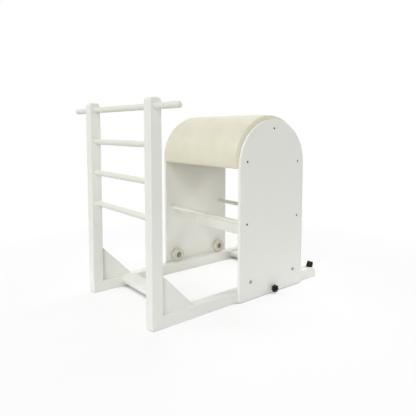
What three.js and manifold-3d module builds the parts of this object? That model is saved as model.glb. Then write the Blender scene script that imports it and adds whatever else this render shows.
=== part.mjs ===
// Pilates ladder barrel: a ladder frame on two floor rails, and a padded barrel that rolls on them.
// Millimetres, +Z up, +X from the ladder towards the barrel, origin on the floor under the middle.
import * as THREE from 'three';
import { mergeVertices } from 'three/addons/utils/BufferGeometryUtils.js';
import Module from 'manifold-3d';

const wasm = await Module();
wasm.setup();

// Ladder frame
const frameLength = 1190;        // front of the posts to the end of the rails
const frameWidth = 684;          // over the outer faces of the posts
const postHeight = 1060;
const timberWidth = 57;          // posts and rails, across the frame
const timberDepth = 60;          // posts, along the frame
const railHeight = 60;
const timberEdgeRadius = 4;
const postRearCornerRadius = 20;
const postFrontCornerRadius = 20;
const railEndRadius = 45;        // rear top corner, where the end stop stands

// Rungs
const rungDiameter = 30;
const topRungDrop = 41;          // post top down to the top rung's axis
const rungPitch = 169.5;
const lowerRungCount = 3;
const handleReach = 190;         // top rung beyond a post's outer face
const tenonDepth = 28;           // a lower rung's end inside its post
const tenonEndGap = 0.5;

// Gusset panels and cross boards
const gussetRun = 184;
const gussetRise = 192;
const gussetThickness = 18;
const boardWidth = 98;
const boardThickness = 27;
const boardLift = 25;            // floor to the underside
const boardEdgeRadius = 3;
const frontBoardSetback = 173;   // front of the posts to the board's front edge
const rearBoardInset = 82;       // rail end to the board's rear edge

// End stops
const stopBaseDiameter = 42;
const stopTopDiameter = 36;
const stopHeight = 33;
const stopFootDepth = 8;         // rubber below the seat's middle, where the rail curves away
const stopTilt = 18;             // degrees, leaning rearwards on the rounded rail end
const stopRecessDiameter = 20;
const stopRecessDepth = 22;
const stopScrewDiameter = 6;
const stopScrewHeadDiameter = 14;
const stopScrewHeadHeight = 4;
const stopScrewGrip = 35;        // length of thread in the rail

// Barrel carriage
const barrelInset = 423;         // rail end to the barrel's axis
const panelWidth = 502;
const panelThickness = 18;
const panelLift = 3;             // floor to the panel's foot
const panelClearance = 2;        // rail's outer face to the panel's inner face
const panelEdgeRadius = 2;
const panelFootRadius = 6;
const barrelAxisHeight = 728;
const dowelDiameter = 26;
const dowelHeight = 420;
const fixingInset = 50;          // panel's edge in to its screws
const frontFixingRise = 24;      // barrel axis up to the screws of the side battens
const rearFixingRise = 13;
const stretcherThickness = 18;
const stretcherFoot = 283;       // floor to the stretcher's lower edge
const stretcherHeight = 85;

// Upholstered pad and what carries it
const padThickness = 24;
const padCrown = 1.5;             // middle of the pad above its edges
const padEdgeRadius = 8;
const padDrawIn = 2;             // pad's sides pulled in at the shell
const padTail = 12.5;            // pad below the barrel's axis, front and rear
const padLipLength = 32;         // along the path, over which the pad thins at its front and rear ends
const padSideGap = 0.5;
const shellThickness = 9;
const shellTail = 6;
const battenDepth = 60;          // from the shell inwards
const battenThickness = 34;
const seatGap = 0.3;             // between curved pieces that seat on each other

// Panel screws
const screwDiameter = 5;
const screwHeadDiameter = 12;
const screwHeadHeight = 3;
const screwLength = 50;

// Wheels and axles
const wheelDiameter = 84;
const wheelWidth = 24;
const wheelTreadWidth = 8;
const wheelShoulder = 9;         // from the tread down to the flat side, along the radius
const axleInset = 79;            // panel's front or rear edge in to an axle
const bearingDiameter = 22;
const spacerDiameter = 14;
const spacerLength = 8;
const axleDiameter = 8;
const axleHeadDiameter = 20;
const axleHeadHeight = 5;
const axleHeadRim = 1;           // flat edge under the dome
const axleEnd = 3;               // bolt beyond its nut
const nutWidth = 13;             // across the flats
const nutHeight = 8;
const runningGap = 0.1;          // on the radius, between the axle and what turns on it
const faceGap = 0.3;             // between faces that pass each other
const rollingGap = 0.2;          // wheel above its rail

// Clamp knobs
const knobDiameter = 44;
const knobLobeDepth = 5;
const knobLobes = 7;
const knobThickness = 20;
const knobCollarDiameter = 22;
const knobCollarLength = 12;
const studDiameter = 8;
const insertDiameter = 12;
const insertFlangeDiameter = 20;
const insertFlangeThickness = 1.2;
const insertLength = 12;
const boreGap = 0.3;             // on the radius, between a fixed piece and its bore
const overrun = 5;               // cutters beyond the face they start from

// Smoothness of round shapes
const fineSides = 24;
const smallSides = 16;
const screwSides = 8;
const cornerSteps = 2;
const railEndSteps = 6;
const archSteps = 32;
const stepsPerLobe = 6;

// Places that follow from the sizes
const frontX = -frameLength / 2;
const rearX = frameLength / 2;
const outerY = frameWidth / 2;
const timberY = outerY - timberWidth / 2;
const innerY = outerY - timberWidth;
const postX = frontX + timberDepth / 2;
const postBackX = frontX + timberDepth;
const topRungHeight = postHeight - topRungDrop;
const rungRadius = rungDiameter / 2;
const barrelX = rearX - barrelInset;
const panelInnerY = outerY + panelClearance;
const panelOuterY = panelInnerY + panelThickness;
const archRadius = panelWidth / 2;
const fixingOffset = archRadius - fixingInset;
const wheelBase = panelWidth - 2 * axleInset;
const wheelRadius = wheelDiameter / 2;
const axleHeight = railHeight + wheelRadius;
const wheelOuterY = panelInnerY - spacerLength;
const wheelInnerY = wheelOuterY - wheelWidth;
const clampHeight = railHeight / 2;
const stopLean = THREE.MathUtils.degToRad(stopTilt);
const stopSeatInset = railEndRadius * (1 - Math.sin(stopLean));
const stopSeatDrop = railEndRadius * (1 - Math.cos(stopLean));

// Finishes
function finish(color, roughness, metalness = 0) {
  return new THREE.MeshStandardMaterial({ color, roughness, metalness });
}
const whiteWood = () => finish(0xebebe6, 0.45);
const whitePanel = () => finish(0xe6e7e2, 0.4);
const creamUpholstery = () => finish(0xe2e0cf, 0.55);
const bareWood = () => finish(0xb89a72, 0.8);
const barePlywood = () => finish(0xc3a67c, 0.75);
const clearCream = () => finish(0xd8d6c2, 0.3);
const blackPlastic = () => finish(0x17181a, 0.45);
const blackRubber = () => finish(0x141415, 0.75);
const zincSteel = () => finish(0xa9adb0, 0.35, 0.9);
const blackSteel = () => finish(0x2a2c2e, 0.4, 0.8);

// Axes for flat outlines: an outline drawn in x and y, pushed out along its own z.
// The second one also stands a piece turned about Y upright.
const unitX = new THREE.Vector3(1, 0, 0);
const unitY = new THREE.Vector3(0, 1, 0);
const unitZ = new THREE.Vector3(0, 0, 1);
const sectionAlongX = new THREE.Matrix4().makeBasis(unitY, unitZ, unitX);
const outlineAlongY = new THREE.Matrix4().makeBasis(unitX, unitZ, unitY.clone().negate());

// Closed solid from a three.js geometry, for cutting and joining
function solid(geometry) {
  const bare = geometry.clone();
  bare.deleteAttribute('normal');
  bare.deleteAttribute('uv');
  const merged = mergeVertices(bare);
  const index = merged.index.array;
  const triangles = [];
  for (let i = 0; i < index.length; i += 3) {
    const [a, b, c] = [index[i], index[i + 1], index[i + 2]];
    if (a !== b && b !== c && c !== a) {
      triangles.push(a, b, c);
    }
  }
  return new wasm.Manifold(new wasm.Mesh({
    numProp: 3,
    vertProperties: Float32Array.from(merged.attributes.position.array),
    triVerts: Uint32Array.from(triangles),
  }));
}

function geometryOf(body) {
  const mesh = body.getMesh();
  const geometry = new THREE.BufferGeometry();
  geometry.setAttribute('position', new THREE.BufferAttribute(Float32Array.from(mesh.vertProperties), 3));
  geometry.setIndex(new THREE.BufferAttribute(Uint32Array.from(mesh.triVerts), 1));
  const faceted = geometry.toNonIndexed();
  faceted.computeVertexNormals();
  return faceted;
}

function block(from, to) {
  const size = new THREE.Vector3().subVectors(to, from);
  const geometry = new THREE.BoxGeometry(size.x, size.y, size.z);
  const middle = new THREE.Vector3().addVectors(from, to).multiplyScalar(1 / 2);
  geometry.translate(middle.x, middle.y, middle.z);
  return solid(geometry);
}

// Rectangle about a middle point, with one radius for each corner in turn from the lower left
function roundedRectangle(width, height, radii) {
  const corners = [
    { x: -width / 2, y: -height / 2, turn: Math.PI },
    { x: width / 2, y: -height / 2, turn: -Math.PI / 2 },
    { x: width / 2, y: height / 2, turn: 0 },
    { x: -width / 2, y: height / 2, turn: Math.PI / 2 },
  ];
  return outline(corners.flatMap((corner, i) => {
    const radius = radii[i];
    const centreX = corner.x - Math.sign(corner.x) * radius;
    const centreY = corner.y - Math.sign(corner.y) * radius;
    const steps = radius > 0 ? cornerSteps : 0;
    return steps > 0
      ? arcPoints(centreX, centreY, radius, corner.turn, corner.turn + Math.PI / 2, steps)
      : [[corner.x, corner.y]];
  }));
}

// Points of an arc, its two ends included
function arcPoints(centreX, centreY, radius, from, to, steps) {
  const points = [];
  for (let i = 0; i <= steps; i += 1) {
    const angle = from + ((to - from) * i) / steps;
    points.push([centreX + radius * Math.cos(angle), centreY + radius * Math.sin(angle)]);
  }
  return points;
}

function outline(points) {
  return new THREE.Shape(points.map(([x, y]) => new THREE.Vector2(x, y)));
}

// Outline pushed out evenly to both sides of its own plane, then turned to lie along an axis
function pushed(shape, depth, axes) {
  const geometry = new THREE.ExtrudeGeometry(shape, { depth, bevelEnabled: false });
  geometry.translate(0, 0, -depth / 2);
  geometry.applyMatrix4(axes);
  return solid(geometry);
}

// Solid turned about the Y axis from a list of [radius, place along the axis]
function turned(profile, sides) {
  const points = profile.map(([radius, along]) => new THREE.Vector2(radius, along));
  return solid(new THREE.LatheGeometry(points, sides));
}

function cylinder(diameter, from, to, sides) {
  const radius = diameter / 2;
  return turned([[0, from], [radius, from], [radius, to], [0, to]], sides);
}

const ladderBarrel = new THREE.Group();

function addPiece(parent, name, geometry, material, x = 0, y = 0, z = 0) {
  const mesh = new THREE.Mesh(geometry, material);
  mesh.name = name;
  mesh.position.set(x, y, z);
  parent.add(mesh);
  return mesh;
}

const sides = [{ name: 'left', sign: 1 }, { name: 'right', sign: -1 }];

// Posts, with a through bore for the top rung and blind bores for the lower rungs
function postGeometry(sign) {
  const edge = timberEdgeRadius;
  const shaft = roundedRectangle(timberDepth, timberWidth, [edge, edge, edge, edge]);
  const shaftSolid = pushed(shaft, postHeight, new THREE.Matrix4()).translate([0, 0, postHeight / 2]);
  const foot = block(
    new THREE.Vector3(0, -timberWidth / 2, 0),
    new THREE.Vector3(timberDepth / 2, timberWidth / 2, railHeight),
  );
  const side = roundedRectangle(timberDepth, postHeight, [0, 0, postRearCornerRadius, postFrontCornerRadius]);
  const sideSolid = pushed(side, timberWidth, outlineAlongY).translate([0, 0, postHeight / 2]);
  let post = shaftSolid.add(foot).intersect(sideSolid);
  const boreDiameter = rungDiameter + 2 * boreGap;
  const through = cylinder(boreDiameter, -timberWidth / 2 - overrun, timberWidth / 2 + overrun, fineSides);
  post = post.subtract(through.translate([0, 0, topRungHeight]));
  const inner = -sign * timberWidth / 2;
  const bottom = inner + sign * (tenonDepth + tenonEndGap);
  const mouth = inner - sign * overrun;
  const blind = cylinder(boreDiameter, Math.min(bottom, mouth), Math.max(bottom, mouth), fineSides);
  for (let i = 1; i <= lowerRungCount; i += 1) {
    post = post.subtract(blind.translate([0, 0, topRungHeight - i * rungPitch]));
  }
  return geometryOf(post);
}

// Floor rails, rounded at the rear top corner and bored there for the end stop's screw
function railSolid() {
  const length = frameLength - timberDepth;
  const edge = timberEdgeRadius;
  const section = roundedRectangle(timberWidth, railHeight, [0, 0, edge, edge]);
  const sectionSolid = pushed(section, length, sectionAlongX);
  const top = railHeight / 2;
  const side = outline([
    [-length / 2, -top],
    ...arcPoints(length / 2 - edge, edge - top, edge, -Math.PI / 2, 0, cornerSteps),
    ...arcPoints(length / 2 - railEndRadius, top - railEndRadius, railEndRadius, 0, Math.PI / 2, railEndSteps),
    [-length / 2, top],
  ]);
  const sideSolid = pushed(side, timberWidth, outlineAlongY);
  const bore = cylinder(stopScrewDiameter + 2 * boreGap, -stopScrewGrip - boreGap, overrun, screwSides)
    .transform(outlineAlongY.toArray())
    .rotate([0, stopTilt, 0])
    .translate([length / 2 - stopSeatInset, 0, top - stopSeatDrop]);
  return sectionSolid.intersect(sideSolid).subtract(bore);
}

// Gusset panel: a right triangle in the corner between post and rail
function gussetGeometry() {
  const shape = outline([[0, 0], [gussetRun, 0], [0, gussetRise]]);
  return geometryOf(pushed(shape, gussetThickness, outlineAlongY));
}

// Flat board across the frame, its long edges rounded
function crossBoardGeometry() {
  const edge = boardEdgeRadius;
  const section = roundedRectangle(boardWidth, boardThickness, [edge, edge, edge, edge]);
  return geometryOf(pushed(section, 2 * innerY, outlineAlongY));
}

// Tapered rubber end stop with a recess for its screw, its foot shaped to the rail that it leans on
function endStopGeometry(rail) {
  const hole = stopScrewDiameter / 2 + boreGap;
  const recess = stopRecessDiameter / 2;
  const recessFloor = stopHeight - stopRecessDepth;
  const body = turned([
    [hole, -stopFootDepth], [stopBaseDiameter / 2, -stopFootDepth], [stopTopDiameter / 2, stopHeight],
    [recess, stopHeight], [recess, recessFloor], [hole, recessFloor], [hole, -stopFootDepth],
  ], fineSides);
  const seatX = (frameLength - timberDepth) / 2 - stopSeatInset;
  const seatHeight = railHeight / 2 - stopSeatDrop;
  return geometryOf(body
    .transform(outlineAlongY.toArray())
    .rotate([0, stopTilt, 0])
    .subtract(rail.translate([-seatX, 0, -seatHeight])));
}

function stopScrewGeometry() {
  const seat = stopHeight - stopRecessDepth;
  const shank = stopScrewDiameter / 2;
  const head = stopScrewHeadDiameter / 2;
  const body = turned([
    [0, -stopScrewGrip], [shank, shank - stopScrewGrip], [shank, seat], [head, seat],
    [head, seat + stopScrewHeadHeight / 2], [head / 2, seat + stopScrewHeadHeight],
    [0, seat + stopScrewHeadHeight],
  ], smallSides);
  return geometryOf(body.transform(outlineAlongY.toArray()).rotate([0, stopTilt, 0]));
}

function addFrame() {
  const frame = new THREE.Group();
  const railBody = railSolid();
  const rail = geometryOf(railBody);
  const gusset = gussetGeometry();
  const endStop = endStopGeometry(railBody);
  const stopScrew = stopScrewGeometry();
  const stopX = rearX - stopSeatInset;
  const stopSeat = railHeight - stopSeatDrop;
  for (const side of sides) {
    const y = side.sign * timberY;
    addPiece(frame, `${side.name}_post`, postGeometry(side.sign), whiteWood(), postX, y, 0);
    addPiece(frame, `${side.name}_rail`, rail, whiteWood(), (postBackX + rearX) / 2, y, railHeight / 2);
    addPiece(frame, `${side.name}_gusset`, gusset, whitePanel(), postBackX, y, railHeight);
    addPiece(frame, `${side.name}_end_stop`, endStop, blackRubber(), stopX, y, stopSeat);
    addPiece(frame, `${side.name}_end_stop_screw`, stopScrew, zincSteel(), stopX, y, stopSeat);
  }
  const board = crossBoardGeometry();
  const boardHeight = boardLift + boardThickness / 2;
  const frontBoardX = frontX + frontBoardSetback + boardWidth / 2;
  const rearBoardX = rearX - rearBoardInset - boardWidth / 2;
  addPiece(frame, 'front_cross_board', board, whitePanel(), frontBoardX, 0, boardHeight);
  addPiece(frame, 'rear_cross_board', board, whitePanel(), rearBoardX, 0, boardHeight);
  ladderBarrel.add(frame);
}

// Top rung with a round-ended handle beyond each post
function topRungGeometry() {
  const half = outerY + handleReach;
  const profile = [[0, -half]];
  const tipSteps = 2 * cornerSteps;
  for (let i = 1; i <= tipSteps; i += 1) {
    const angle = (i / tipSteps) * Math.PI / 2;
    profile.push([rungRadius * Math.sin(angle), -half + rungRadius * (1 - Math.cos(angle))]);
  }
  const farEnd = profile.map(([radius, along]) => [radius, -along]).reverse();
  return geometryOf(turned([...profile, ...farEnd], fineSides));
}

function addRungs() {
  const rungs = new THREE.Group();
  addPiece(rungs, 'top_rung', topRungGeometry(), whiteWood(), postX, 0, topRungHeight);
  const half = innerY + tenonDepth;
  const lowerRung = geometryOf(cylinder(rungDiameter, -half, half, fineSides));
  for (let i = 1; i <= lowerRungCount; i += 1) {
    addPiece(rungs, `rung_${i + 1}`, lowerRung, whiteWood(), postX, 0, topRungHeight - i * rungPitch);
  }
  ladderBarrel.add(rungs);
}

// Places of the five panel screws, as [along, up] from the barrel's axis
const panelFixings = [
  { name: 'top_batten', x: 0, z: fixingOffset },
  { name: 'front_batten', x: -fixingOffset, z: frontFixingRise },
  { name: 'rear_batten', x: fixingOffset, z: rearFixingRise },
  { name: 'front_dowel', x: -fixingOffset, z: dowelHeight - barrelAxisHeight },
  { name: 'rear_dowel', x: fixingOffset, z: dowelHeight - barrelAxisHeight },
];

// Side panel: straight sides, half-round top, drilled for screws, axles and the clamp's insert.
// Its middle plane is at y = 0 and its local origin is on the barrel's axis.
function sidePanelGeometry(sign) {
  const footZ = panelLift - barrelAxisHeight + panelFootRadius;
  const footX = archRadius - panelFootRadius;
  const shape = outline([
    ...arcPoints(0, 0, archRadius, 0, Math.PI, archSteps),
    ...arcPoints(-footX, footZ, panelFootRadius, Math.PI, 3 * Math.PI / 2, cornerSteps),
    ...arcPoints(footX, footZ, panelFootRadius, -Math.PI / 2, 0, cornerSteps),
  ]);
  const geometry = new THREE.ExtrudeGeometry(shape, {
    depth: panelThickness - 2 * panelEdgeRadius,
    bevelEnabled: true,
    bevelSize: panelEdgeRadius,
    bevelThickness: panelEdgeRadius,
    bevelOffset: -panelEdgeRadius,
    bevelSegments: 1,
  });
  geometry.translate(0, 0, panelEdgeRadius - panelThickness / 2);
  geometry.applyMatrix4(outlineAlongY);
  const outer = sign * panelThickness / 2;
  let panel = solid(geometry);
  const drill = (diameter, x, z, depthSides) => {
    const reach = panelThickness / 2 + overrun;
    panel = panel.subtract(cylinder(diameter, -reach, reach, depthSides).translate([x, 0, z]));
  };
  for (const fixing of panelFixings) {
    drill(screwDiameter + 2 * boreGap, fixing.x, fixing.z, screwSides);
    panel = panel.subtract(countersink(sign).translate([fixing.x, outer, fixing.z]));
  }
  for (const end of [-1, 1]) {
    drill(axleDiameter + 2 * boreGap, end * wheelBase / 2, axleHeight - barrelAxisHeight, smallSides);
  }
  drill(insertDiameter + 2 * boreGap, 0, clampHeight - barrelAxisHeight, smallSides);
  return geometryOf(panel);
}

// Cone that a countersunk head leaves in an outer face at y = 0
function countersink(sign) {
  const wide = screwHeadDiameter / 2 + boreGap;
  const narrow = screwDiameter / 2 + boreGap;
  const profile = [[0, -screwHeadHeight - boreGap], [narrow, -screwHeadHeight - boreGap], [wide, 0],
    [wide, overrun], [0, overrun]];
  return outwards(turned(profile, screwSides), sign);
}

// A piece turned about +Y, mirrored by half a turn when it belongs to the right side
function outwards(body, sign) {
  return sign > 0 ? body : body.rotate([0, 0, 180]);
}

// Countersunk screw; the head's face is at y = 0 and the point lies inwards
function panelScrewGeometry(sign) {
  const shank = screwDiameter / 2;
  const head = screwHeadDiameter / 2;
  return geometryOf(outwards(turned([
    [0, -screwLength], [shank, shank - screwLength], [shank, -screwHeadHeight], [head, 0], [0, 0],
  ], screwSides), sign));
}

// Pilot bores at both ends of a piece that lies between the panels
function withPilots(body, x, z) {
  const diameter = screwDiameter + 2 * boreGap;
  const tip = panelOuterY - screwLength - boreGap;
  const bore = cylinder(diameter, tip, panelInnerY + overrun, screwSides);
  return body
    .subtract(bore.translate([x, 0, z]))
    .subtract(bore.rotate([0, 0, 180]).translate([x, 0, z]));
}

function addPanels(carriage) {
  for (const side of sides) {
    const y = side.sign * (panelInnerY + panelThickness / 2);
    addPiece(carriage, `${side.name}_side_panel`, sidePanelGeometry(side.sign), whitePanel(), 0, y, 0);
    const screw = panelScrewGeometry(side.sign);
    for (const fixing of panelFixings) {
      const place = [fixing.x, side.sign * panelOuterY, fixing.z];
      addPiece(carriage, `${side.name}_screw_${fixing.name}`, screw, blackSteel(), ...place);
    }
  }
}

function addSpreaders(carriage) {
  const dowel = geometryOf(withPilots(cylinder(dowelDiameter, -panelInnerY, panelInnerY, fineSides), 0, 0));
  const dowelZ = dowelHeight - barrelAxisHeight;
  addPiece(carriage, 'front_spreader_dowel', dowel, whiteWood(), -fixingOffset, 0, dowelZ);
  addPiece(carriage, 'rear_spreader_dowel', dowel, whiteWood(), fixingOffset, 0, dowelZ);
  const edge = boardEdgeRadius;
  const section = roundedRectangle(stretcherThickness, stretcherHeight, [edge, edge, edge, edge]);
  const stretcher = geometryOf(pushed(section, 2 * panelInnerY, outlineAlongY));
  const stretcherZ = stretcherFoot + stretcherHeight / 2 - barrelAxisHeight;
  addPiece(carriage, 'stretcher_board', stretcher, whitePanel(), 0, 0, stretcherZ);
}

// Places along the pad's tail, where its rounded lip has points
const lipShares = [0, 0.15, 0.45];

// Path round the barrel: up the front, over the half circle and down the rear.
// Each station has a point on the shell and the direction that points outwards there.
function barrelStations(radius) {
  const tails = lipShares.map((share) => ({ angle: 0, below: padTail - padTail * share }));
  const arch = Array.from({ length: archSteps + 1 }, (_, i) => {
    return { angle: (i / archSteps) * Math.PI, below: 0 };
  });
  const farTails = tails.map((tail) => ({ ...tail, angle: Math.PI })).reverse();
  return [...tails, ...arch, ...farTails].map(({ angle, below }) => ({
    x: -radius * Math.cos(angle),
    z: radius * Math.sin(angle) - below,
    outX: -Math.cos(angle),
    outZ: Math.sin(angle),
    fromEnd: padTail - below + radius * Math.min(angle, Math.PI - angle),
  }));
}

// Places across the pad where its crown has points, from the shoulder to the middle,
// and how much of the draw-in is left halfway up a side
const crownShares = [0.7, 0.35, 0];
const midDrawShare = 0.25;

// Pad's section as [across, outwards]: flat on the shell, sides drawn in, edges rounded, a low crown
function padSection(fullness) {
  const half = panelInnerY - padSideGap;
  const thickness = padThickness - padCrown;
  const points = [
    [padDrawIn - half, 0],
    [padDrawIn * midDrawShare - half, (thickness - padEdgeRadius) / 2],
  ];
  const shoulder = half - padEdgeRadius;
  const roundSteps = 2 * cornerSteps;
  for (let i = 0; i <= roundSteps; i += 1) {
    const angle = (i / roundSteps) * Math.PI / 2;
    points.push([
      -shoulder - padEdgeRadius * Math.cos(angle),
      thickness - padEdgeRadius + padEdgeRadius * Math.sin(angle),
    ]);
  }
  for (const share of crownShares) {
    points.push([-shoulder * share, thickness + padCrown * (1 - share * share)]);
  }
  const farHalf = points.slice(0, -1).map(([across, out]) => [-across, out]).reverse();
  return [...points, ...farHalf].map(([across, out]) => [across, out * fullness]);
}

// Upholstered pad: the section carried round the arch, thinning to a rounded lip at each end
const lipFullnessShare = 0.3;
function padGeometry() {
  const path = barrelStations(archRadius + seatGap);
  const ringSize = padSection(1).length;
  const positions = [];
  for (const station of path) {
    const inwards = 1 - Math.min(station.fromEnd / padLipLength, 1);
    const rise = Math.sqrt(1 - inwards * inwards);
    const fullness = lipFullnessShare + (1 - lipFullnessShare) * rise;
    for (const [across, out] of padSection(fullness)) {
      positions.push(station.x + station.outX * out, across, station.z + station.outZ * out);
    }
  }
  const index = [];
  for (let i = 0; i + 1 < path.length; i += 1) {
    for (let j = 0; j < ringSize; j += 1) {
      const next = (j + 1) % ringSize;
      const [here, beyond] = [i * ringSize, (i + 1) * ringSize];
      index.push(here + j, beyond + next, here + next);
      index.push(here + j, beyond + j, beyond + next);
    }
  }
  const lastRing = (path.length - 1) * ringSize;
  for (let j = 1; j + 1 < ringSize; j += 1) {
    index.push(0, j, j + 1);
    index.push(lastRing, lastRing + j + 1, lastRing + j);
  }
  const geometry = new THREE.BufferGeometry();
  geometry.setAttribute('position', new THREE.BufferAttribute(Float32Array.from(positions), 3));
  geometry.setIndex(index);
  return geometryOf(solid(geometry));
}

// Bent plywood shell under the pad
function shellGeometry() {
  const inner = archRadius - shellThickness;
  const shape = outline([
    [archRadius, -shellTail],
    ...arcPoints(0, 0, archRadius, 0, Math.PI, archSteps),
    [-archRadius, -shellTail],
    [-inner, -shellTail],
    ...arcPoints(0, 0, inner, Math.PI, 0, archSteps),
    [inner, -shellTail],
  ]);
  return geometryOf(pushed(shape, 2 * panelInnerY, outlineAlongY));
}

// Batten at the top of the barrel, its outer face planed to the shell's curve.
// The flats of the faceted shell lie a little inside its radius, so the batten stops short of them.
function battenSolid() {
  const flatShare = Math.cos(Math.PI / (2 * archSteps));
  const reach = (archRadius - shellThickness) * flatShare - seatGap;
  const bar = block(
    new THREE.Vector3(-battenThickness / 2, -panelInnerY, reach - battenDepth),
    new THREE.Vector3(battenThickness / 2, panelInnerY, reach),
  );
  return bar.intersect(cylinder(2 * reach, -panelInnerY - overrun, panelInnerY + overrun, 2 * archSteps));
}

function addBarrel(carriage) {
  addPiece(carriage, 'barrel_pad', padGeometry(), creamUpholstery());
  addPiece(carriage, 'barrel_shell', shellGeometry(), barePlywood());
  for (const fixing of panelFixings.filter((place) => place.name.endsWith('batten'))) {
    const turn = THREE.MathUtils.radToDeg(Math.atan2(fixing.x, fixing.z));
    const body = battenSolid().rotate([0, turn, 0]);
    addPiece(carriage, fixing.name, geometryOf(withPilots(body, fixing.x, fixing.z)), bareWood());
  }
}

// Wheel with rounded shoulders and a bore for its bearings; its middle is at y = 0
function wheelGeometry() {
  const bore = bearingDiameter / 2 + faceGap;
  const side = wheelWidth / 2;
  const tread = wheelTreadWidth / 2;
  const outer = wheelRadius - rollingGap;
  const half = [[bore, -side], [outer - wheelShoulder, -side]];
  for (let i = 1; i <= cornerSteps; i += 1) {
    const angle = (i / cornerSteps) * Math.PI / 2;
    half.push([
      outer - wheelShoulder + wheelShoulder * Math.sin(angle),
      -side + (side - tread) * (1 - Math.cos(angle)),
    ]);
  }
  const far = half.map(([radius, along]) => [radius, -along]).reverse();
  return geometryOf(turned([...half, ...far, half[0]], fineSides));
}

// Ring about the Y axis between two places
function ring(outerDiameter, innerDiameter, from, to, count) {
  const [outer, inner] = [outerDiameter / 2, innerDiameter / 2];
  return turned([[inner, from], [outer, from], [outer, to], [inner, to], [inner, from]], count);
}

// Axle bolt: domed head outside the panel, shank through panel, spacer, bearings and nut
const domeShares = [0, 0.4, 0.75, 1];
function axleBoltGeometry(sign) {
  const inner = wheelInnerY - faceGap - nutHeight - axleEnd - panelOuterY;
  const [shank, head] = [axleDiameter / 2, axleHeadDiameter / 2];
  const dome = [];
  for (const share of domeShares) {
    const angle = share * Math.PI / 2;
    dome.push([head * Math.cos(angle), axleHeadRim + (axleHeadHeight - axleHeadRim) * Math.sin(angle)]);
  }
  const body = turned([[0, inner], [shank, inner], [shank, 0], [head, 0], ...dome], smallSides);
  return geometryOf(outwards(body, sign));
}

function nutGeometry() {
  const across = nutWidth / Math.cos(Math.PI / 6);
  return geometryOf(ring(across, axleDiameter + 2 * runningGap, -nutHeight / 2, nutHeight / 2, 6)
    .subtract(cylinder(axleDiameter + 2 * boreGap, -nutHeight, nutHeight, smallSides)));
}

function addWheels(carriage) {
  const wheel = wheelGeometry();
  const bore = axleDiameter + 2 * runningGap;
  const bearing = geometryOf(ring(bearingDiameter, bore, -wheelWidth / 2, wheelWidth / 2, smallSides));
  const spacerHalf = (spacerLength - faceGap) / 2;
  const spacerBore = axleDiameter + 2 * boreGap;
  const spacer = geometryOf(ring(spacerDiameter, spacerBore, -spacerHalf, spacerHalf, smallSides));
  const nut = nutGeometry();
  const z = axleHeight - barrelAxisHeight;
  for (const side of sides) {
    const bolt = axleBoltGeometry(side.sign);
    for (const end of [{ name: 'front', sign: -1 }, { name: 'rear', sign: 1 }]) {
      const x = end.sign * wheelBase / 2;
      const label = `${side.name}_${end.name}`;
      const wheelY = side.sign * (wheelInnerY + wheelOuterY) / 2;
      addPiece(carriage, `${label}_wheel`, wheel, clearCream(), x, wheelY, z);
      addPiece(carriage, `${label}_bearing`, bearing, zincSteel(), x, wheelY, z);
      const spacerY = side.sign * (panelInnerY - spacerHalf);
      addPiece(carriage, `${label}_axle_spacer`, spacer, zincSteel(), x, spacerY, z);
      addPiece(carriage, `${label}_axle_bolt`, bolt, zincSteel(), x, side.sign * panelOuterY, z);
      const nutY = side.sign * (wheelInnerY - faceGap - nutHeight / 2);
      addPiece(carriage, `${label}_axle_nut`, nut, zincSteel(), x, nutY, z);
    }
  }
}

// Clamp knob: lobed head, collar and moulded-in stud whose tip stands just off the rail
function clampKnobGeometry(sign) {
  const outlineSteps = stepsPerLobe * knobLobes;
  const middle = (knobDiameter - knobLobeDepth) / 2;
  const points = [];
  for (let i = 0; i < outlineSteps; i += 1) {
    const angle = (i / outlineSteps) * 2 * Math.PI;
    const radius = middle + (knobLobeDepth / 2) * Math.cos(knobLobes * angle);
    points.push([radius * Math.cos(angle), radius * Math.sin(angle)]);
  }
  const headMiddle = knobCollarLength + knobThickness / 2;
  const head = pushed(outline(points), knobThickness, outlineAlongY).translate([0, headMiddle, 0]);
  const collar = cylinder(knobCollarDiameter, faceGap, headMiddle, smallSides);
  const tip = outerY + faceGap - panelOuterY;
  const stud = cylinder(studDiameter, tip, headMiddle, smallSides);
  return geometryOf(outwards(head.add(collar).add(stud), sign));
}

// Threaded insert: a sleeve in the panel with a flange on its inner face, which is at y = 0
function insertGeometry(sign) {
  const hole = studDiameter + 2 * runningGap;
  const sleeve = ring(insertDiameter, hole, 0, insertLength, smallSides);
  const flange = ring(insertFlangeDiameter, hole, -insertFlangeThickness, 0, smallSides);
  return geometryOf(outwards(sleeve.add(flange), sign));
}

function addClamps(carriage) {
  const z = clampHeight - barrelAxisHeight;
  for (const side of sides) {
    const knob = clampKnobGeometry(side.sign);
    addPiece(carriage, `${side.name}_clamp_knob`, knob, blackPlastic(), 0, side.sign * panelOuterY, z);
    const insert = insertGeometry(side.sign);
    addPiece(carriage, `${side.name}_clamp_insert`, insert, zincSteel(), 0, side.sign * panelInnerY, z);
  }
}

function addCarriage() {
  const carriage = new THREE.Group();
  carriage.position.set(barrelX, 0, barrelAxisHeight);
  addPanels(carriage);
  addSpreaders(carriage);
  addBarrel(carriage);
  addWheels(carriage);
  addClamps(carriage);
  ladderBarrel.add(carriage);
}

addFrame();
addRungs();
addCarriage();

export default ladderBarrel;
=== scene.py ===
from math import asin, atan2, cos, degrees, hypot, pi, radians, sin, sqrt, tan, tau

import bmesh
import bpy
from mathutils import Matrix, Vector, noise


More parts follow.
